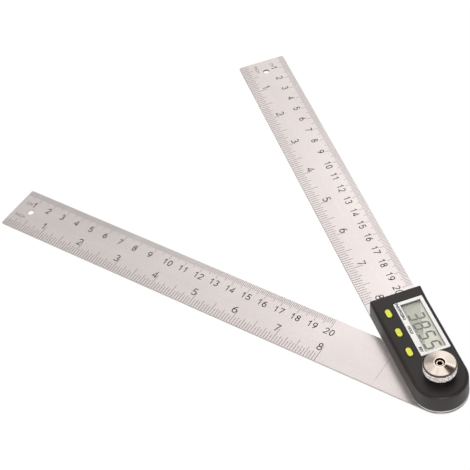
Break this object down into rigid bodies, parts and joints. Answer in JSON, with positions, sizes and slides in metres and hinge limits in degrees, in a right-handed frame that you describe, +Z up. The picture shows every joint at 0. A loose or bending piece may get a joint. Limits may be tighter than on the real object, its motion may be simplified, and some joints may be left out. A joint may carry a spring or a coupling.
{
  "type": "digital angle finder",
  "caption": "Digital angle finder: two steel rule arms on one lockable pivot, with a display housing and press keys on the upper arm.",
  "frame": {"origin": "on the pivot axis, in the plane that the lower arm lies on", "axes": "+Z up along the pivot axis, +X along the display arm from the pivot to its free end, +Y towards the lower arm, which stands open by 38.55 degrees"},
  "size_m": [0.2795, 0.19, 0.0223],
  "materials": {
    "rule_steel": "fine brushed stainless",
    "turned_steel": "polished turned steel",
    "spring_steel": "plain spring steel",
    "bush_bronze": "machined bronze",
    "housing_plastic": "satin charcoal moulding",
    "black_acetal": "satin black acetal",
    "label_film": "satin silver-grey film",
    "lens_clear": "clear polished",
    "lcd_panel": "grey-green display",
    "elastomer": "striped conductive elastomer",
    "circuit_board": "green solder mask",
    "chip_epoxy": "moulded epoxy",
    "key_yellow": "satin yellow-green moulding"
  },
  "bodies": {
    "lower_arm": {"lower_blade": "rule_steel", "pivot_shaft": "turned_steel", "friction_washer": "black_acetal", "encoder_rotor": "circuit_board", "retaining_ring": "spring_steel"},
    "display_arm": {"display_blade": "rule_steel", "pivot_bush": "bush_bronze", "housing_base": "housing_plastic", "front_cover": "housing_plastic", "window_label": "label_film", "lcd_lens": "lens_clear", "lcd_glass": "lcd_panel", "zebra_strip_inch_side": "elastomer", "zebra_strip_cm_side": "elastomer", "main_board": "circuit_board", "controller_chip": "chip_epoxy", "switch_dome_1": "spring_steel", "switch_dome_2": "spring_steel", "switch_dome_3": "spring_steel", "coin_cell": "turned_steel", "cell_clip": "spring_steel", "cell_leaf": "spring_steel", "cover_screw_1": "spring_steel", "cover_screw_2": "spring_steel", "cover_screw_3": "spring_steel", "cover_screw_4": "spring_steel", "board_screw_1": "spring_steel", "board_screw_2": "spring_steel"},
    "knob_carrier": {"knob_washer": "black_acetal"},
    "knob": {"lock_knob": "turned_steel"},
    "key_1_body": {"key_1": "key_yellow"},
    "key_2_body": {"key_2": "key_yellow"},
    "key_3_body": {"key_3": "key_yellow"},
    "battery_door_body": {"battery_door": "housing_plastic"}
  },
  "joints": [
    {"name": "arm_swing", "type": "hinge", "parent": "lower_arm", "child": "display_arm", "pos_m": [0, 0, 0], "axis": [0, 0, 1], "continuous": true},
    {"name": "knob_lift", "type": "slide", "parent": "lower_arm", "child": "knob_carrier", "axis": [0, 0, 1], "range_m": [0, 0.0008]},
    {"name": "knob_turn", "type": "hinge", "parent": "knob_carrier", "child": "knob", "pos_m": [0, 0, 0], "axis": [0, 0, 1], "range_deg": [0, 360]},
    {"name": "key_1_press", "type": "slide", "parent": "display_arm", "child": "key_1_body", "axis": [0, 0, -1], "range_m": [0, 0.0005], "stiffness_N_per_m": 1500},
    {"name": "key_2_press", "type": "slide", "parent": "display_arm", "child": "key_2_body", "axis": [0, 0, -1], "range_m": [0, 0.0005], "stiffness_N_per_m": 1500},
    {"name": "key_3_press", "type": "slide", "parent": "display_arm", "child": "key_3_body", "axis": [0, 0, -1], "range_m": [0, 0.0005], "stiffness_N_per_m": 1500},
    {"name": "battery_door_twist", "type": "hinge", "parent": "display_arm", "child": "battery_door_body", "pos_m": [0.033, 0, 0.0015], "axis": [0, 0, 1], "range_deg": [0, 40]}
  ],
  "couplings": [
    {"joint": "knob_turn", "follows": "knob_lift", "rad_per_m": 7853.9}
  ]
}
